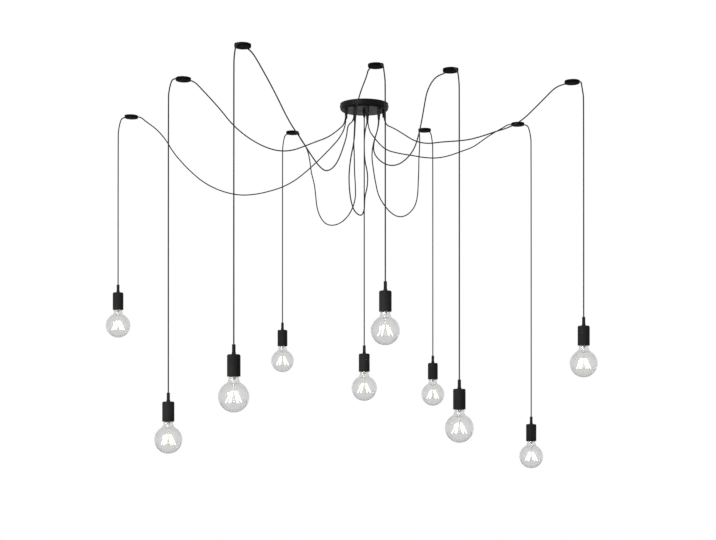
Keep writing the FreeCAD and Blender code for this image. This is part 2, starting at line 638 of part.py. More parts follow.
def filament_frame():
    """The stem with its flared end, and the wires above and below the filament sticks."""
    rise = "filament_len * cos(filament_lean) / 2"
    foot_r = "(filament_top_r + filament_len * sin(filament_lean))"
    flare = "(mouth_r - glass_t - seat_gap)"
    low = "%s - %s - 2 * wire_r" % (GLOBE_Z, rise)
    stem = turned("stem", [
        ("0", low), ("stem_r", low), ("stem_r", RIM + " - press_len"),
        (flare, RIM + " - stem_foot"), (flare, RIM), ("0", RIM)])
    wires = []
    for level, height, radius in (("upper", " + " + rise, "filament_top_r"),
                                  ("lower", " - " + rise, foot_r)):
        for n in range(FILAMENTS // 2):
            angle = 360 * n / FILAMENTS
            reach = "(%s + filament_r)" % radius
            wire = cylinder("%s_wire_%d" % (level, n), "wire_r", "2 * " + reach)
            across = Vector(math.cos(math.radians(angle)), math.sin(math.radians(angle)), 0)
            wire.Placement = Placement(Vector(), Rotation(Vector(0, 0, 1), across))
            wires.append(tie(wire, x="-%s * cos(%g)" % (reach, angle),
                             y="-%s * sin(%g)" % (reach, angle), z=GLOBE_Z + height))
    return fused("filament_frame", [stem] + wires)


def filament_sticks():
    """Filament sticks that lean outwards from the upper wires to the lower ones."""
    end_gap = ("((wire_r + screw_gap) / cos(filament_lean)"
               " + filament_r * tan(filament_lean))")
    sticks = []
    for n in range(FILAMENTS):
        angle = 360 * n / FILAMENTS
        stick = cylinder("filament_%d" % n, "filament_r", "filament_len - 2 * " + end_gap)
        sideways = Vector(math.sin(math.radians(angle)), -math.cos(math.radians(angle)), 0)
        stick.Placement = Placement(Vector(), Rotation(sideways, value("filament_lean")))
        foot_r = "(filament_top_r + (filament_len - %s) * sin(filament_lean))" % end_gap
        drop = "(filament_len / 2 - %s) * cos(filament_lean)" % end_gap
        sticks.append(tie(stick, turn="filament_lean", x="%s * cos(%g)" % (foot_r, angle),
                          y="%s * sin(%g)" % (foot_r, angle), z=GLOBE_Z + " - " + drop))
    return sticks


def bulb():
    """The clear globe, its screw cap, the stem and the leaning filament sticks."""
    glass = turned("globe", envelope("0") + backwards(envelope("glass_t")))
    side = thread("cap_root_r", "cap_crest_r", RIM, CAP_TURNS)
    tip = RIM + " + cap_len"
    cap = turned("bulb_cap", [("0", RIM)] + side + [
        ("cap_root_r", "%s + %d * screw_pitch + cap_skirt" % (RIM, CAP_TURNS)),
        ("cap_tip_r + insulator_w", tip + " - cap_tip_len - insulator_t"),
        ("cap_tip_r", tip + " - cap_tip_len"), ("cap_tip_r", tip), ("0", tip)])
    return group("bulb", [glass, cap, filament_frame()] + filament_sticks())


def lamps():
    """Ten lamps: each one's holder, insert and bulb at the end of its cord."""
    masters = {"holder_cover": holder_cover(), "socket_insert": socket_insert(), "bulb": bulb()}
    for k in LAMPS:
        drop_cord(k)
        for name, master in masters.items():
            label = "%s_%d" % (name, k)
            node(label, copy(label, master, z="-hang_%d" % k, **lamp_place(k)))


# ---- checks and export ----

def check_all():
    for thing in doc.Objects:
        faults = [s for s in thing.State if s in ("Invalid", "Error")]
        if faults:
            raise RuntimeError("%s is %s" % (thing.Label, ", ".join(faults)))
    for name, piece in nodes.items():
        shape = piece.Shape
        if shape.isNull() or not shape.isValid() or not shape.Solids:
            raise RuntimeError("%s has no valid shape" % name)
    section = math.pi * (value("cord_d") / 2) ** 2
    for k in ROUTES:
        length = doc.getObject("route_%d" % k).Shape.Length
        filled = nodes["swag_cord_%d" % k].Shape.Volume / (section * length)
        print("swag_cord_%d: %.0f mm long, volume %.4f of section times length"
              % (k, length, filled))
        if abs(filled - 1) > 0.01:
            raise RuntimeError("swag_cord_%d is not a whole tube" % k)


def export_all():
    os.makedirs("parts", exist_ok=True)
    for name, piece in nodes.items():
        piece.Shape.exportStep(os.path.join("parts", name + ".step"))
    print("%d nodes" % len(nodes))


bracket()
canopy_cover()
cover_screws()
terminal_block()
canopy_grips()
hooks()
for lamp in LAMPS:
    if lamp == MIDDLE_LAMP:
        middle_cord()
    else:
        swag_cord(lamp)
lamps()
doc.recompute()
check_all()
export_all()
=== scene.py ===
import math

import bpy
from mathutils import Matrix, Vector

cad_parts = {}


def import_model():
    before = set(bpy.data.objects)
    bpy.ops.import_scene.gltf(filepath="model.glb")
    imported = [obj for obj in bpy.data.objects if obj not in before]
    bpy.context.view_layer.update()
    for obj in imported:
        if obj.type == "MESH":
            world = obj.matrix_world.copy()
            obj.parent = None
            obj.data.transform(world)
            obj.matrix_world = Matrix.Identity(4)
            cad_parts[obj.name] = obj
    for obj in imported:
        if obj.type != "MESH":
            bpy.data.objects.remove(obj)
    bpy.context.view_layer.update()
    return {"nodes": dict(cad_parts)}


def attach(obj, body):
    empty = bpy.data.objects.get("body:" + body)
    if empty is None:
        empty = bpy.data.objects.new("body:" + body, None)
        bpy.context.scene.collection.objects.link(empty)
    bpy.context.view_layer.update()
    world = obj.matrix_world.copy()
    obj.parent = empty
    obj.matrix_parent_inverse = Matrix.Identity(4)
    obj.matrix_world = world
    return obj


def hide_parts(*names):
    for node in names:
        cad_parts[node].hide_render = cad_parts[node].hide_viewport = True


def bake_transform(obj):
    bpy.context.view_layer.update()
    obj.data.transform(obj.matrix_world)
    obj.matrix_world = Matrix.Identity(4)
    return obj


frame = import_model()

# A cluster pendant, in metres. The origin is on the ceiling at the canopy's axis, Z points up, X to
# the right and Y away from the camera.

# Each lamp: the x and y of the line it hangs on, the depth of its grip's top below the ceiling, and
# the real lengths of its cord up to the hook and from there down. The middle lamp has no hook.
LAMPS = {
    1: (-0.9608, 0.2024, 0.658, 1.127, 0.754),
    2: (-0.6672, -0.4082, 1.075, 0.815, 1.170),
    3: (-0.4004, -0.8350, 0.925, 1.056, 1.019),
    4: (-0.3388, 0.5231, 0.790, 1.051, 0.889),
    5: (0, 0, 0.902, 0, 0.948),
    6: (0.0652, -0.5933, 0.713, 1.112, 0.804),
    7: (0.2861, 0.4721, 0.929, 0.978, 1.022),
    8: (0.3089, -0.5468, 1.031, 0.821, 1.125),
    9: (0.6723, 0.3318, 1.177, 0.780, 1.274),
    10: (0.7488, -0.3766, 0.816, 0.850, 0.907),
}

# Each swag's route from inside the canopy to its hook and over it, as part.py has it, with a few
# points beside the hooks moved by under 10 mm to follow the photograph's rounder bends. The points
# next to a hook stay level with its notches, so that the cord runs through them. Each route starts
# 5 mm lower than part.py's, because a cord starts near the place where it leaves the object.
ROUTES = {
    1: [(-0.0677, 0.0246, -0.021), (-0.0677, 0.0246, -0.074), (-0.094, 0.036, -0.122),
        (-0.133, 0.044, -0.162), (-0.173, 0.051, -0.201), (-0.215, 0.059, -0.238),
        (-0.259, 0.067, -0.272), (-0.308, 0.077, -0.297), (-0.361, 0.087, -0.312),
        (-0.415, 0.097, -0.322), (-0.471, 0.108, -0.324), (-0.525, 0.118, -0.313),
        (-0.577, 0.129, -0.293), (-0.624, 0.138, -0.265), (-0.666, 0.146, -0.229),
        (-0.705, 0.155, -0.189), (-0.741, 0.163, -0.146), (-0.77, 0.168, -0.096),
        (-0.808, 0.173, -0.054), (-0.849, 0.176, -0.025), (-0.8698, 0.1831, -0.0059),
        (-0.907, 0.191, -0.0052), (-0.9451, 0.1991, -0.0057), (-0.9535, 0.2009, -0.027),
        (-0.9588, 0.202, -0.054), (-0.9608, 0.2024, -0.078)],
    2: [(-0.0677, -0.0246, -0.021), (-0.0677, -0.0246, -0.074), (-0.096, -0.055, -0.108),
        (-0.133, -0.078, -0.14), (-0.176, -0.103, -0.161), (-0.218, -0.129, -0.183),
        (-0.26, -0.156, -0.204), (-0.305, -0.185, -0.212), (-0.35, -0.214, -0.205),
        (-0.392, -0.242, -0.188), (-0.432, -0.269, -0.164), (-0.469, -0.294, -0.132),
        (-0.5, -0.316, -0.094), (-0.535, -0.334, -0.057), (-0.568, -0.347, -0.023),
        (-0.5868, -0.3636, -0.0059), (-0.62, -0.382, -0.0052), (-0.6532, -0.4004, -0.0057),
        (-0.6607, -0.4045, -0.027), (-0.6655, -0.4072, -0.054), (-0.6672, -0.4082, -0.078)],
    3: [(-0.036, -0.0624, -0.021), (-0.036, -0.0624, -0.074), (-0.061, -0.104, -0.1),
        (-0.064, -0.136, -0.146), (-0.074, -0.171, -0.188), (-0.085, -0.209, -0.228),
        (-0.096, -0.25, -0.263), (-0.114, -0.292, -0.295), (-0.136, -0.34, -0.312),
        (-0.157, -0.39, -0.302), (-0.175, -0.44, -0.284), (-0.193, -0.488, -0.263),
        (-0.211, -0.535, -0.239), (-0.234, -0.578, -0.213), (-0.255, -0.618, -0.181),
        (-0.275, -0.654, -0.143), (-0.297, -0.685, -0.103), (-0.322, -0.709, -0.06),
        (-0.348, -0.729, -0.017), (-0.3619, -0.7526, -0.0059), (-0.378, -0.787, -0.0052),
        (-0.3936, -0.8205, -0.0057), (-0.3972, -0.8282, -0.027), (-0.3996, -0.8332, -0.054),
        (-0.4004, -0.835, -0.078)],
    4: [(-0.036, 0.0624, -0.021), (-0.036, 0.0624, -0.074), (-0.04, 0.081, -0.126),
        (-0.037, 0.096, -0.179), (-0.037, 0.111, -0.232), (-0.033, 0.131, -0.284),
        (-0.033, 0.153, -0.334), (-0.051, 0.182, -0.378), (-0.08, 0.218, -0.408), (-0.116, 0.258, -0.42),
        (-0.151, 0.3, -0.41), (-0.175, 0.337, -0.377), (-0.19, 0.366, -0.332), (-0.195, 0.389, -0.283),
        (-0.201, 0.409, -0.231), (-0.215, 0.425, -0.18), (-0.221, 0.438, -0.126),
        (-0.234, 0.445, -0.073), (-0.266, 0.445, -0.032), (-0.2663, 0.4601, -0.0059),
        (-0.295, 0.485, -0.0052), (-0.3267, 0.5126, -0.0057), (-0.3331, 0.5181, -0.027),
        (-0.3373, 0.5217, -0.054), (-0.3388, 0.5231, -0.078)],
    6: [(0.0125, -0.0709, -0.021), (0.0125, -0.0709, -0.074), (0.001, -0.09, -0.125),
        (-0.001, -0.103, -0.179), (0.001, -0.12, -0.232), (0.012, -0.138, -0.283),
        (0.011, -0.161, -0.334), (0, -0.189, -0.38), (0, -0.223, -0.425), (-0.01, -0.267, -0.457),
        (-0.034, -0.318, -0.451), (-0.047, -0.364, -0.422), (-0.053, -0.402, -0.383),
        (-0.054, -0.434, -0.337), (-0.048, -0.457, -0.287), (-0.036, -0.476, -0.236),
        (-0.033, -0.493, -0.183), (-0.029, -0.506, -0.129), (-0.014, -0.513, -0.076),
        (0.005, -0.507, -0.028), (0.0111, -0.5265, -0.0059), (0.035, -0.556, -0.0052),
        (0.0577, -0.584, -0.0057), (0.0605, -0.5875, -0.027), (0.0639, -0.5917, -0.054),
        (0.0652, -0.5933, -0.078)],
    7: [(0.0552, 0.0463, -0.021), (0.0552, 0.0463, -0.074), (0.037, 0.065, -0.122),
        (0.028, 0.079, -0.174), (0.035, 0.095, -0.225), (0.044, 0.113, -0.276), (0.056, 0.137, -0.323),
        (0.083, 0.167, -0.36), (0.113, 0.205, -0.384), (0.146, 0.248, -0.389), (0.179, 0.287, -0.37),
        (0.206, 0.318, -0.334), (0.217, 0.342, -0.287), (0.22, 0.361, -0.236), (0.223, 0.377, -0.184),
        (0.224, 0.39, -0.131), (0.228, 0.396, -0.077), (0.227, 0.39, -0.029), (0.2231, 0.4091, -0.0059),
        (0.25, 0.436, -0.0052), (0.2755, 0.4615, -0.0057), (0.2808, 0.4668, -0.027),
        (0.2846, 0.4706, -0.054), (0.2861, 0.4721, -0.078)],
    8: [(0.0552, -0.0463, -0.021), (0.0552, -0.0463, -0.074), (0.048, -0.078, -0.116),
        (0.034, -0.102, -0.163), (0.033, -0.131, -0.208), (0.056, -0.164, -0.244),
        (0.087, -0.202, -0.267), (0.119, -0.245, -0.272), (0.147, -0.289, -0.259),
        (0.171, -0.33, -0.234), (0.184, -0.367, -0.196), (0.193, -0.397, -0.153),
        (0.201, -0.419, -0.104), (0.21, -0.434, -0.054), (0.235, -0.447, -0.014),
        (0.2662, -0.4664, -0.0059), (0.284, -0.5, -0.0052), (0.3014, -0.5327, -0.0057),
        (0.3054, -0.5402, -0.027), (0.3079, -0.545, -0.054), (0.3089, -0.5468, -0.078)],
    9: [(0.0125, 0.0709, -0.021), (0.0125, 0.0709, -0.074), (0.043, 0.097, -0.112),
        (0.081, 0.116, -0.148), (0.133, 0.135, -0.158), (0.185, 0.154, -0.162), (0.236, 0.175, -0.167),
        (0.287, 0.196, -0.165), (0.336, 0.217, -0.151), (0.384, 0.237, -0.13), (0.432, 0.257, -0.11),
        (0.475, 0.275, -0.076), (0.513, 0.292, -0.048), (0.557, 0.31, -0.021), (0.5795, 0.3171, -0.0059),
        (0.617, 0.323, -0.0052), (0.6565, 0.3293, -0.0057), (0.6649, 0.3306, -0.027),
        (0.6703, 0.3314, -0.054), (0.6723, 0.3318, -0.078)],
    10: [(0.072, 0, -0.021), (0.072, 0, -0.074), (0.111, -0.028, -0.096), (0.149, -0.049, -0.125),
         (0.188, -0.07, -0.154), (0.233, -0.094, -0.167), (0.28, -0.117, -0.165),
         (0.328, -0.141, -0.167), (0.375, -0.165, -0.167), (0.421, -0.189, -0.159),
         (0.467, -0.212, -0.147), (0.513, -0.234, -0.137), (0.556, -0.256, -0.116),
         (0.592, -0.276, -0.083), (0.628, -0.292, -0.048), (0.662, -0.303, -0.014),
         (0.6877, -0.3176, -0.0059), (0.715, -0.344, -0.0052), (0.7409, -0.369, -0.0057),
         (0.7434, -0.3714, -0.027), (0.7474, -0.3753, -0.054), (0.7488, -0.3766, -0.078)],
}

MIDDLE_LAMP = 5
CORD_D, CORD_SIDES = 0.0045, 12
CORD_STEPS = 20                                 # rings of a cord for each point of its route
ENTRY_Z, PEG_TIP_Z = -0.021, -0.050             # the cords' start in the canopy, and their way out
MIDDLE_STRAIGHT = 0.015                         # how far the middle cord's second point is below that
FOOT_DROP = 0.062                               # from a grip's top down to the cord's end in the holder
RIM_Z = -0.098                                  # the lampholder's rim below its grip's top
THREAD_PITCH = 0.0036
SHARP_ANGLE, ROD_SHARP_ANGLE = 35, 50           # degrees between faces that meet in a sharp edge

EYE, SENSOR_MM, LENS_MM, SHIFT_Y = (-0.0233, -4.4475, -1.0437), 36, 59.83, 0.1584


# ---- camera ----

def camera():
    """A level camera at the photograph's viewpoint, looking along Y."""
    data = bpy.data.cameras.new("camera")
    data.sensor_width = SENSOR_MM
    data.lens = LENS_MM
    data.shift_y = SHIFT_Y
    eye = bpy.data.objects.new("camera", data)
    eye.location = EYE
    eye.rotation_euler = (math.radians(90), 0, 0)
    bpy.context.scene.collection.objects.link(eye)
    bpy.context.scene.camera = eye


camera()


# ---- building blocks ----

def piece(name, mesh, place=(0, 0, 0)):
    """A new object in the scene."""
    thing = bpy.data.objects.new(name, mesh)
    thing.location = place
    bpy.context.scene.collection.objects.link(thing)
    return thing


def mesh_of(name, points, faces, slots=None, crease=SHARP_ANGLE):
    """A smooth-shaded mesh with sharp edges where faces meet at more than crease degrees."""
    mesh = bpy.data.meshes.new(name)
    mesh.from_pydata(points, [], faces)
    for face in mesh.polygons:
        face.use_smooth = True
    if slots:
        mesh.polygons.foreach_set("material_index", slots)
    mesh.set_sharp_from_angle(angle=math.radians(crease))
    mesh.update()
    return mesh


def arc(across, up, radius, first, last, steps):
    """Points of a profile's arc, by angles in degrees from the outward direction."""
    result = []
    for n in range(steps + 1):
        a = math.radians(first + (last - first) * n / steps)
        result.append((across + radius * math.cos(a), up + radius * math.sin(a)))
    return result


def turned(name, profile, sides=48, parts=()):
    """A mesh turned about Z from (radius, height) points, run so that its outside is on the right
    of the way. A third number is the depth of a thread that winds round there. parts are the
    profile's indices where the next material begins."""
    points, faces, slots = [], [], []
    for radius, height, *wave in profile:
        for side in range(sides):
            turn = 2 * math.pi * side / sides
            r = radius
            if wave:
                r += wave[0] * (0.5 + 0.5 * math.cos(2 * math.pi * height / THREAD_PITCH - turn))
            points.append((r * math.cos(turn), r * math.sin(turn), height))
    for row in range(len(profile) - 1):
        low, high = row * sides, (row + 1) * sides
        for side in range(sides):
            after = (side + 1) % sides
            faces.append((low + side, low + after, high + after, high + side))
            slots.append(sum(row >= start for start in parts))
    return mesh_of(name, points, faces, slots)


def ring(spot, across, up, radius, sides):
    """Points on a circle about a spot, in the plane of two directions."""
    points = []
    for side in range(sides):
        a = 2 * math.pi * side / sides
        points.append(spot + radius * (across * math.cos(a) + up * math.sin(a)))
    return points


def cord_tube(name, line):
    """A mesh tube along a line of points. Its map runs round the tube and along it in metres."""
    line = [Vector(p) for p in line]
    sides, last = CORD_SIDES, len(line) - 1
    points, faces, ahead = [], [], (line[1] - line[0]).normalized()
    across = ahead.orthogonal().normalized()
    along, walked = [], 0.0
    for i, spot in enumerate(line):
        way = (line[min(i + 1, last)] - line[max(i - 1, 0)]).normalized()
        across = (ahead.rotation_difference(way) @ across).normalized()
        ahead = way
        if i:
            walked += (spot - line[i - 1]).length
        along.append(walked)
        points += ring(spot, across, way.cross(across), CORD_D / 2, sides)
    for i in range(last):
        low, high = i * sides, (i + 1) * sides
        for side in range(sides):
            after = (side + 1) % sides
            faces.append((low + side, low + after, high + after, high + side))
    faces.append(tuple(reversed(range(sides))))
    faces.append(tuple(range(last * sides, (last + 1) * sides)))
    mesh = mesh_of(name, points, faces, crease=ROD_SHARP_ANGLE)
    chart = mesh.uv_layers.new(name="around_along")
    for i in range(last):
        for side in range(sides):
            u, v = side / sides, (side + 1) / sides
            spots = [(u, along[i]), (v, along[i]), (v, along[i + 1]), (u, along[i + 1])]
            for corner, spot in zip(mesh.polygons[i * sides + side].loop_indices, spots):
                chart.data[corner].uv = spot
    return mesh


def smooth_line(points):
    """Points read from the smooth line that has these as its control points."""
    curve = bpy.data.curves.new("line", "CURVE")
    curve.dimensions = "3D"
    curve.resolution_u = CORD_STEPS
    spline = curve.splines.new("NURBS")
    spline.points.add(len(points) - 1)
    for knot, spot in zip(spline.points, points):
        knot.co = (*spot, 1)
    spline.order_u = 3
    spline.use_endpoint_u = True
    holder = piece("line", curve)
    mesh = bpy.data.meshes.new_from_object(holder)
    line = [v.co.copy() for v in mesh.vertices]
    bpy.data.objects.remove(holder)
    bpy.data.curves.remove(curve)
    bpy.data.meshes.remove(mesh)
    return line


# ---- cords ----

def add_cord(name, line, stands_for):
    """A cord along a line, in place of its CAD node."""
    cord = piece(name, cord_tube(name, line))
    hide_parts(stands_for)
    return cord


def cords():
    """Each lamp's cord on one smooth line, in two pieces that meet inside the hook's cap: the swag
    stays put, and the drop is a piece of its own. The middle cord is one piece."""
    made = []
    for k, (x, y, hang, swag_length, drop_length) in LAMPS.items():
        foot = (x, y, -hang - FOOT_DROP)
        if k == MIDDLE_LAMP:
            line = smooth_line([(x, y, ENTRY_Z), (x, y, PEG_TIP_Z - MIDDLE_STRAIGHT), foot])
            drop = add_cord("drop_%d" % k, line,
                            "drop_cord_%d" % k)
            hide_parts("swag_cord_%d" % k)
        else:
            route = ROUTES[k]
            line = smooth_line(route + [foot])
            middle, outlet = Vector(route[-5]), Vector(route[-4])
            seam = min(range(len(line)), key=lambda i: (line[i] - middle).length)
            swag = add_cord("swag_%d" % k, line[:seam + 1],
                            "swag_cord_%d" % k)
            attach(swag, "fixed")
            made.append(swag)
            drop = add_cord("drop_%d" % k, line[seam:],
                            "drop_cord_%d" % k)
        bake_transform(drop)
        made.append(drop)
    return made


cord_pieces = cords()


# ---- materials ----

def add(tree, kind, inputs=None, output=0, **settings):
    """Adds a node. inputs gives each input a value or the output of another node."""
    node = tree.nodes.new("ShaderNode" + kind)
    for name, setting in settings.items():
        setattr(node, name, setting)
    for socket, given in (inputs or {}).items():
        if isinstance(given, bpy.types.NodeSocket):
            tree.links.new(given, node.inputs[socket])
        else:
            node.inputs[socket].default_value = given
    return node.outputs[output]


def material(name, **sockets):
    """A new material: its node tree and its Principled node, with sockets set by name."""
    made = bpy.data.materials.new(name)
    made.use_nodes = True
    core = made.node_tree.nodes["Principled BSDF"]
    for socket, setting in sockets.items():
        core.inputs[socket.replace("_", " ")].default_value = setting
    return made, made.node_tree, core


def place(tree):
    """Where a point is on its object, in metres."""
    return add(tree, "TexCoord", output="Object")


def noise(tree, where, scale, detail=2.0, rough=0.5):
    """A noise value. scale is in waves a metre."""
    return add(tree, "TexNoise", {"Vector": where, "Scale": scale, "Detail": detail,
                                  "Roughness": rough})


def spread(tree, given, low, high, from_low=0.3, from_high=0.7):
    """Maps a value's usual range to low..high."""
    return add(tree, "MapRange", {0: given, 1: from_low, 2: from_high, 3: low, 4: high})


def blend_colours(tree, share, first, second):
    """A colour between two, by a share from 0 to 1."""
    return add(tree, "Mix", {0: share, 6: (*first, 1), 7: (*second, 1)}, output=2,
               data_type="RGBA")


def bump(tree, core, height, strength, distance):
    """Raises the surface by a height value."""
    given = add(tree, "Bump", {"Height": height, "Strength": strength, "Distance": distance})
    tree.links.new(given, core.inputs["Normal"])


def coated(name, dark, pale, grain, gloss, shine):
    """Black powder coat or moulded plastic: a fine grain, faint dust and uneven gloss. grain is in
    waves a metre, gloss the range of roughness and shine the specular level."""
    made, tree, core = material(name, IOR=1.5)
    core.inputs["Specular IOR Level"].default_value = shine
    where = place(tree)
    cloud = noise(tree, where, 9.0, 3.0)
    tree.links.new(blend_colours(tree, spread(tree, cloud, 0.0, 1.0), dark, pale),
                   core.inputs["Base Color"])
    patch = noise(tree, where, 34.0, 4.0, 0.6)
    tree.links.new(spread(tree, patch, *gloss), core.inputs["Roughness"])
    bump(tree, core, noise(tree, where, grain), 0.35, 0.00012)
    return made


def metal(name, colour, rough, grain=(900.0, 900.0, 60.0)):
    """Plated metal with drawn grain and slightly uneven gloss."""
    made, tree, core = material(name, Base_Color=(*colour, 1), Metallic=1.0)
    where = place(tree)
    drawn = add(tree, "VectorMath", {0: where, 1: grain}, operation="MULTIPLY")
    streak = noise(tree, drawn, 1.0, 3.0)
    tree.links.new(spread(tree, streak, rough * 0.8, rough * 1.3), core.inputs["Roughness"])
    tint = tuple(c * 0.82 for c in colour)
    tree.links.new(blend_colours(tree, spread(tree, noise(tree, where, 60.0), 0.0, 1.0),
                                 colour, tint), core.inputs["Base Color"])
    bump(tree, core, streak, 0.2, 0.00005)
    return made


def textile(strands=8, pitch=0.0036):
    """A braided sleeve: strands cross in a fine diamond weave, with painted shade in the grooves between
    strands and a few paler flecks on the crests.
    """
    made, tree, core = material("textile_braid", Roughness=0.9, Sheen_Weight=0.08,
                                Sheen_Roughness=0.5)
    core.inputs["Specular IOR Level"].default_value = 0.2
    chart = add(tree, "SeparateXYZ", {0: add(tree, "UVMap", uv_map="around_along")}).node.outputs
    around = add(tree, "Math", {0: chart[0], 1: strands * 2 * math.pi}, operation="MULTIPLY")
    along = add(tree, "Math", {0: chart[1], 1: 2 * math.pi / pitch}, operation="MULTIPLY")
    waves = []
    for way in ("ADD", "SUBTRACT"):
        phase = add(tree, "Math", {0: around, 1: along}, operation=way)
        waves.append(add(tree, "Math", {0: phase}, operation="SINE"))
    weave = add(tree, "Math", {0: waves[0], 1: waves[1]}, operation="MULTIPLY")
    high = spread(tree, weave, 0.0, 1.0, -1.0, 1.0)
    fibre = noise(tree, place(tree), 2600.0, 3.0, 0.7)
    # Colour from the weave's height times fibre noise: painted shade in the grooves between strands,
    # paler flecks on the crests.
    groove_shade_and_flecks = add(tree, "Math", {0: high, 1: fibre}, operation="MULTIPLY")
    tree.links.new(blend_colours(tree, spread(tree, groove_shade_and_flecks, 0.0, 1.0, 0.1, 0.55),
                                 (0.010, 0.010, 0.011), (0.038, 0.038, 0.041)),
                   core.inputs["Base Color"])
    lift = add(tree, "Math", {0: high, 1: spread(tree, fibre, 0.0, 0.4)}, operation="ADD")
    bump(tree, core, lift, 0.8, 0.0004)
    return made


def moulded(name, colour, rough=0.45):
    """Pale or dark moulded plastic or ceramic with a soft sheen and slight mottling."""
    made, tree, core = material(name)
    where = place(tree)
    tint = tuple(c * 0.88 for c in colour)
    tree.links.new(blend_colours(tree, spread(tree, noise(tree, where, 40.0), 0.0, 1.0),
                                 colour, tint), core.inputs["Base Color"])
    tree.links.new(spread(tree, noise(tree, where, 120.0, 3.0), rough * 0.85, rough * 1.15),
                   core.inputs["Roughness"])
    bump(tree, core, noise(tree, where, 1500.0), 0.2, 0.00008)
    return made


def clear_glass(name, tint, rim, clear=1.0):
    """Clear blown glass, a little uneven and deeper in tone where it is seen edge on, that casts
    only a faint shadow. clear is the share of the light that goes through it."""
    made, tree, core = material(name, Roughness=0.0, IOR=1.47, Transmission_Weight=clear)
    edge_on = add(tree, "LayerWeight", {"Blend": 0.35}, output="Facing")
    tree.links.new(blend_colours(tree, edge_on, tint, rim), core.inputs["Base Color"])
    bump(tree, core, noise(tree, place(tree), 22.0, 1.0), 0.06, 0.002)
    ray = add(tree, "LightPath", output="Is Shadow Ray")
    through = add(tree, "BsdfTransparent", {0: (0.9, 0.91, 0.905, 1)})
    mixed = add(tree, "MixShader", {0: ray, 1: core.outputs[0], 2: through})
    tree.links.new(mixed, tree.nodes["Material Output"].inputs[0])
    return made


def lit_filament(bead=0.0016):
    """A filament stick: beads of phosphor that glow warm white."""
    made, tree, core = material("lit_filament", Base_Color=(0.9, 0.75, 0.45, 1), Roughness=0.4)
    where = add(tree, "SeparateXYZ", {0: place(tree)}).node.outputs
    phase = add(tree, "Math", {0: where[2], 1: 2 * math.pi / bead}, operation="MULTIPLY")
    glow = spread(tree, add(tree, "Math", {0: phase}, operation="SINE"), 0.0, 1.0, -1.0, 1.0)
    tree.links.new(blend_colours(tree, glow, (1.0, 0.88, 0.68), (1.0, 0.96, 0.84)),
                   core.inputs["Emission Color"])
    core.inputs["Emission Strength"].default_value = 4.5
    return made


ENAMEL = coated("black_enamel", (0.003, 0.003, 0.0035), (0.007, 0.007, 0.0075), 1500.0, (0.40, 0.54),
                0.07)
MATT = coated("matt_black", (0.002, 0.002, 0.0025), (0.005, 0.005, 0.0055), 1500.0, (0.72, 0.88), 0.04)
PLASTIC = coated("black_plastic", (0.016, 0.016, 0.017), (0.025, 0.025, 0.026), 2600.0, (0.50, 0.65),
                 0.04)
TEXTILE = textile()
ZINC = metal("zinc_steel", (0.62, 0.62, 0.60), 0.38)
NICKEL = metal("nickel", (0.66, 0.64, 0.60), 0.26)
BRASS = metal("brass", (0.72, 0.52, 0.22), 0.3)
SOLDER = metal("solder", (0.55, 0.55, 0.55), 0.45, (400.0, 400.0, 400.0))
NYLON = moulded("pale_nylon", (0.82, 0.80, 0.74))
RESIN = moulded("dark_resin", (0.030, 0.028, 0.027), 0.35)
BLACK_GLASS = moulded("black_glass", (0.012, 0.012, 0.014), 0.12)
GLASS = clear_glass("clear_glass", (0.83, 0.835, 0.83), (0.61, 0.61, 0.615))
STEM_GLASS = clear_glass("stem_glass", (0.76, 0.78, 0.67), (0.72, 0.74, 0.62), 0.5)
FILAMENT = lit_filament()


def dress(thing, *materials):
    """Gives an object these materials, in the order of its slots."""
    thing.data.materials.clear()
    for given in materials:
        thing.data.materials.append(given)


for cord in cord_pieces:
    dress(cord, TEXTILE)

NODE_LOOKS = {
    "ceiling_bracket": ZINC, "canopy_cover": ENAMEL, "cover_screws": ENAMEL,
    "terminal_block": NYLON, "canopy_cord_grips": PLASTIC, "hook_bases": PLASTIC,
    "hook_caps": MATT,
}
for k in LAMPS:
    NODE_LOOKS["holder_cover_%d" % k] = PLASTIC
for name, look in NODE_LOOKS.items():
    dress(frame["nodes"][name], look)


# ---- bulbs and sockets; heights are below the grip's top ----

GLOBE_R, GLOBE_LEN, GLASS_T, GLOBE_SIDES = 0.0475, 0.109, 0.001, 72
NECK_R, FLARE_R, MOUTH_R, MOUTH_LEN = 0.017, 0.016, 0.0129, 0.003
GLOBE_Z = RIM_Z - GLOBE_LEN + GLOBE_R
STICKS, STICK_R, STICK_LEN = 6, 0.001, 0.038
WIRE_R, STICK_SIDES, WIRE_SIDES = 0.0005, 12, 8
STICK_LEAN, STICK_TOP_R = math.radians(25), 0.008
STICK_FOOT_R = STICK_TOP_R + STICK_LEN * math.sin(STICK_LEAN)
STICK_RISE = STICK_LEN * math.cos(STICK_LEAN) / 2      # half the height of a leaning stick
STEM_R, STEM_SIDES = 0.0016, 40                        # the rod of the stem
SHELL_R, SHELL_DEPTH, SHELL_ROWS = 0.0125, 0.0006, 66  # a bulb's threaded shell, its rows of points
SHELL_FOOT, SHELL_LEN, CAP_LEN = RIM_Z + 0.0006, 0.0178, 0.027
SLEEVE_OUT_R, SLEEVE_R, SLEEVE_DEPTH, SLEEVE_ROWS = 0.0142, 0.0138, 0.0004, 72
SLEEVE_FOOT, SLEEVE_LEN = RIM_Z + 0.003, 0.0216
SLEEVE_MARGIN = 0.0002                                 # bare sleeve at each end of its thread
SOCKET_LOW, SOCKET_HIGH, SOCKET_R, SOCKET_BORE_R = RIM_Z + 0.001, RIM_Z + 0.036, 0.0187, 0.0143
CONTACT_TIP, CONTACT_TOP, CONTACT_R, CONTACT_SIDES = RIM_Z + 0.0273, RIM_Z + 0.030, 0.004, 32
AXIS_R = 0.00001                                       # as near to the axis as a turned face comes


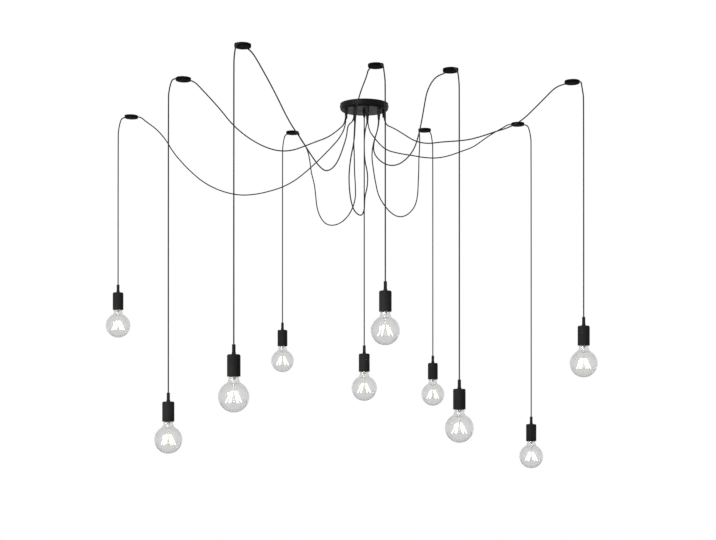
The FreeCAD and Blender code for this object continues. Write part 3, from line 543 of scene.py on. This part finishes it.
def side_of_glass(shrink):
    """The globe's profile from the bottom up to the mouth, moved inwards by shrink."""
    out = NECK_R + FLARE_R
    lift = math.sqrt((GLOBE_R + FLARE_R) ** 2 - out ** 2)
    turn = math.degrees(math.atan2(lift, out))
    ball = arc(0, GLOBE_Z, GLOBE_R - shrink, -89.9, turn, 40)
    flare = arc(out, GLOBE_Z + lift, FLARE_R + shrink, 180 + turn, 180, 12)
    neck = [(NECK_R - shrink, RIM_Z - MOUTH_LEN), (NECK_R - 0.0006 - shrink, RIM_Z - 0.0016),
            (MOUTH_R - shrink, RIM_Z)]
    return ball + flare[1:] + neck


def globe_mesh():
    """The globe's outside and inside, joined at the mouth."""
    outer, inner = side_of_glass(0), side_of_glass(GLASS_T)
    return turned("globe", outer + inner[::-1], GLOBE_SIDES)


def thread_rows(radius, depth, foot, length, rows):
    """A thread's profile from the bottom up. It fades in and out over a sixth of its length."""
    points = []
    for n in range(rows + 1):
        fade = min(1, 6 * n / rows, 6 * (1 - n / rows))
        points.append((radius, foot + length * n / rows, depth * fade))
    return points


def above_rim(*points):
    """A profile's points from their (radius, height above the rim)."""
    return [(radius, RIM_Z + height) for radius, height in points]


def screw_cap_mesh():
    """The bulb's threaded shell, the black glass insulator and the solder contact."""
    shell = above_rim((0.0122, 0.0002), (SHELL_R, 0.0004))
    shell += thread_rows(SHELL_R, SHELL_DEPTH, SHELL_FOOT, SHELL_LEN, SHELL_ROWS)
    shell += above_rim((SHELL_R, 0.019), (0.0118, 0.0200), (0.0100, 0.0212), (0.0086, 0.0220))
    insulator = above_rim((0.0084, 0.0222), (0.0070, 0.0238), (0.0060, 0.0248), (0.0050, 0.0252))
    tip = above_rim((0.0048, 0.0254), (0.0048, CAP_LEN - 0.0008), (0.0042, CAP_LEN - 0.0003),
                    (0.0028, CAP_LEN), (AXIS_R, CAP_LEN))
    return turned("screw_cap", shell + insulator + tip,
                  parts=(len(shell) - 1, len(shell) + len(insulator) - 1))


def stem_mesh():
    """The glass stem: a flared foot, a pinched press and a rod down to the wires."""
    foot = GLOBE_Z - STICK_RISE - 2 * WIRE_R
    profile = [(AXIS_R, foot)] + arc(0, foot + STEM_R, STEM_R, -80, 0, 5)
    profile += above_rim((STEM_R, -0.022), (0.0028, -0.019), (0.0034, -0.016), (0.0030, -0.0125),
                         (0.0036, -0.009), (0.0058, -0.005), (0.0088, -0.002), (0.0113, -0.0006),
                         (0.0113, -0.0001), (0.0080, -0.0001), (AXIS_R, -0.0001))
    return turned("stem", profile, STEM_SIDES)


def rod(start, end, radius, sides):
    """Points and faces of a round rod between two points."""
    start, end = Vector(start), Vector(end)
    way = (end - start).normalized()
    across = way.orthogonal().normalized()
    up = way.cross(across)
    points = ring(start, across, up, radius, sides) + ring(end, across, up, radius, sides)
    faces = []
    for side in range(sides):
        after = (side + 1) % sides
        faces.append((side, after, sides + after, sides + side))
    faces += [tuple(reversed(range(sides))), tuple(range(sides, 2 * sides))]
    return points, faces


def joined(name, shapes):
    """One mesh from several shapes' points and faces."""
    points, faces = [], []
    for some_points, some_faces in shapes:
        first = len(points)
        points += some_points
        faces += [tuple(first + i for i in face) for face in some_faces]
    return mesh_of(name, points, faces, crease=ROD_SHARP_ANGLE)


def sticks():
    """The ends of each filament stick. They lean outwards from the upper wires to the lower."""
    ends = []
    for n in range(STICKS):
        a = 2 * math.pi * n / STICKS
        low = (STICK_FOOT_R * math.cos(a), STICK_FOOT_R * math.sin(a), GLOBE_Z - STICK_RISE)
        high = (STICK_TOP_R * math.cos(a), STICK_TOP_R * math.sin(a), GLOBE_Z + STICK_RISE)
        ends.append((low, high))
    return ends


def filaments_mesh():
    """The cage of filament sticks."""
    return joined("filaments", [rod(low, high, STICK_R, STICK_SIDES) for low, high in sticks()])


def wires_mesh():
    """The wires from the stem that hold the sticks' ends."""
    shapes = []
    for ends in sticks():
        shapes += [rod((0, 0, end[2]), end, WIRE_R, WIRE_SIDES) for end in ends]
    return joined("wires", shapes)


def socket_mesh():
    """The insulating insert, with its two outer edges broken."""
    return turned("socket", [
        (SOCKET_BORE_R, SOCKET_LOW), (SOCKET_R - 0.0006, SOCKET_LOW),
        (SOCKET_R, SOCKET_LOW + 0.0006), (SOCKET_R, SOCKET_HIGH - 0.0008),
        (SOCKET_R - 0.0008, SOCKET_HIGH), (AXIS_R, SOCKET_HIGH)])


def sleeve_mesh():
    """The threaded sleeve: up its outside, and down its thread inside."""
    outside = [(SLEEVE_OUT_R, SLEEVE_FOOT), (SLEEVE_OUT_R, SLEEVE_FOOT + SLEEVE_LEN)]
    inside = thread_rows(SLEEVE_R, -SLEEVE_DEPTH, SLEEVE_FOOT + SLEEVE_MARGIN,
                         SLEEVE_LEN - 2 * SLEEVE_MARGIN, SLEEVE_ROWS)
    return turned("sleeve", outside + inside[::-1] + outside[:1])


def contact_mesh():
    """The sprung contact above the bulb's cap."""
    return turned("contact", [
        (AXIS_R, CONTACT_TIP), (CONTACT_R - 0.0006, CONTACT_TIP), (CONTACT_R, CONTACT_TIP + 0.0005),
        (CONTACT_R, CONTACT_TOP), (AXIS_R, CONTACT_TOP)], CONTACT_SIDES)


def lamp_pieces():
    """Each lamp's bulb and socket. A kind is its name, mesh, materials, body, CAD node and slot."""
    kinds = [
        ("globe", globe_mesh(), (GLASS,), "lightbulb", "bulb", "clear_glass"),
        ("screw_cap", screw_cap_mesh(), (NICKEL, BLACK_GLASS, SOLDER), "lightbulb", "bulb",
         "zinc_steel"),
        ("stem", stem_mesh(), (STEM_GLASS,), "lightbulb", "bulb", "clear_glass"),
        ("wires", wires_mesh(), (NICKEL,), "lightbulb", "bulb", "zinc_steel"),
        ("filaments", filaments_mesh(), (FILAMENT,), "lightbulb", "bulb", "clear_glass"),
        ("sleeve", sleeve_mesh(), (BRASS,), "pendant", "socket_insert", "zinc_steel"),
        ("contact", contact_mesh(), (BRASS,), "pendant", "socket_insert", "zinc_steel"),
        ("socket", socket_mesh(), (RESIN,), "pendant", "socket_insert", "socket_plastic"),
    ]
    for kind, mesh, looks, body, stands_for, slot in kinds:
        for look in looks:
            mesh.materials.append(look)
        for k, (x, y, hang, _, _) in LAMPS.items():
            thing = piece("%s_%d" % (kind, k), mesh, (x, y, -hang))
            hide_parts("%s_%d" % (stands_for, k))
            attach(thing, "%s_%d" % (body, k))
            if kind == "filaments":
                thing.visible_diffuse = False
                thing.visible_glossy = False


lamp_pieces()


# ---- floor, lights and world ----

FLOOR_R, FLOOR_Z, FLOOR_SIDES = 4.5, -2.4, 96


def floor():
    """A pale round floor. From below it is see-through, so that it never hides the lamps."""
    points = ring(Vector((0, 0, FLOOR_Z)), Vector((1, 0, 0)), Vector((0, 1, 0)), FLOOR_R, FLOOR_SIDES)
    ground = piece("floor", mesh_of("floor", points, [tuple(range(FLOOR_SIDES))]))
    made, tree, core = material("pale_floor", Roughness=0.7)
    tree.links.new(blend_colours(tree, noise(tree, place(tree), 3.0), (0.86, 0.86, 0.86),
                                 (0.9, 0.9, 0.9)), core.inputs["Base Color"])
    under = add(tree, "NewGeometry", output="Backfacing")
    clear = add(tree, "BsdfTransparent")
    mixed = add(tree, "MixShader", {0: under, 1: core.outputs[0], 2: clear})
    tree.links.new(mixed, tree.nodes["Material Output"].inputs[0])
    dress(ground, made)


def lamp_light(name, at, aim, size, power, mirrored=True):
    """An area light, by its place, what it faces, its two sides and its watts. One that isn't
    mirrored leaves no bright spots in glass."""
    data = bpy.data.lights.new(name, "AREA")
    data.shape = "RECTANGLE"
    data.size, data.size_y = size
    data.energy = power
    light = bpy.data.objects.new(name, data)
    light.location = at
    light.visible_glossy = light.visible_transmission = mirrored
    light.rotation_euler = (Vector(aim) - Vector(at)).to_track_quat("-Z", "Y").to_euler()
    bpy.context.scene.collection.objects.link(light)


def world():
    """Weak plain light from all round, which the camera, gloss and glass see as white."""
    sky = bpy.data.worlds.new("studio")
    sky.use_nodes = True
    tree = sky.node_tree
    back = tree.nodes["Background"]
    back.inputs["Color"].default_value = (0.97, 0.98, 1.0, 1)
    back.inputs["Strength"].default_value = 0.11
    path = tree.nodes.new("ShaderNodeLightPath")
    seen = path.outputs["Is Camera Ray"]
    for ray in ("Is Glossy Ray", "Is Transmission Ray"):
        seen = add(tree, "Math", {0: seen, 1: path.outputs[ray]}, operation="MAXIMUM")
    white = add(tree, "Background", {0: (1, 1, 1, 1), 1: 1.0})
    mixed = add(tree, "MixShader", {0: seen, 1: back.outputs[0], 2: white})
    tree.links.new(mixed, tree.nodes["World Output"].inputs[0])
    bpy.context.scene.world = sky


floor()
lamp_light("key", (-2.7, -4.0, 0.6), (0, 0, -0.7), (1.7, 1.7), 210)
lamp_light("fill", (3.6, -3.0, 0.2), (0, 0, -0.8), (2.4, 2.4), 8, False)
lamp_light("back", (0.6, 3.8, 1.4), (0, 0, -0.6), (2.4, 1.6), 50, False)
world()
bpy.context.scene.view_settings.view_transform = "Standard"
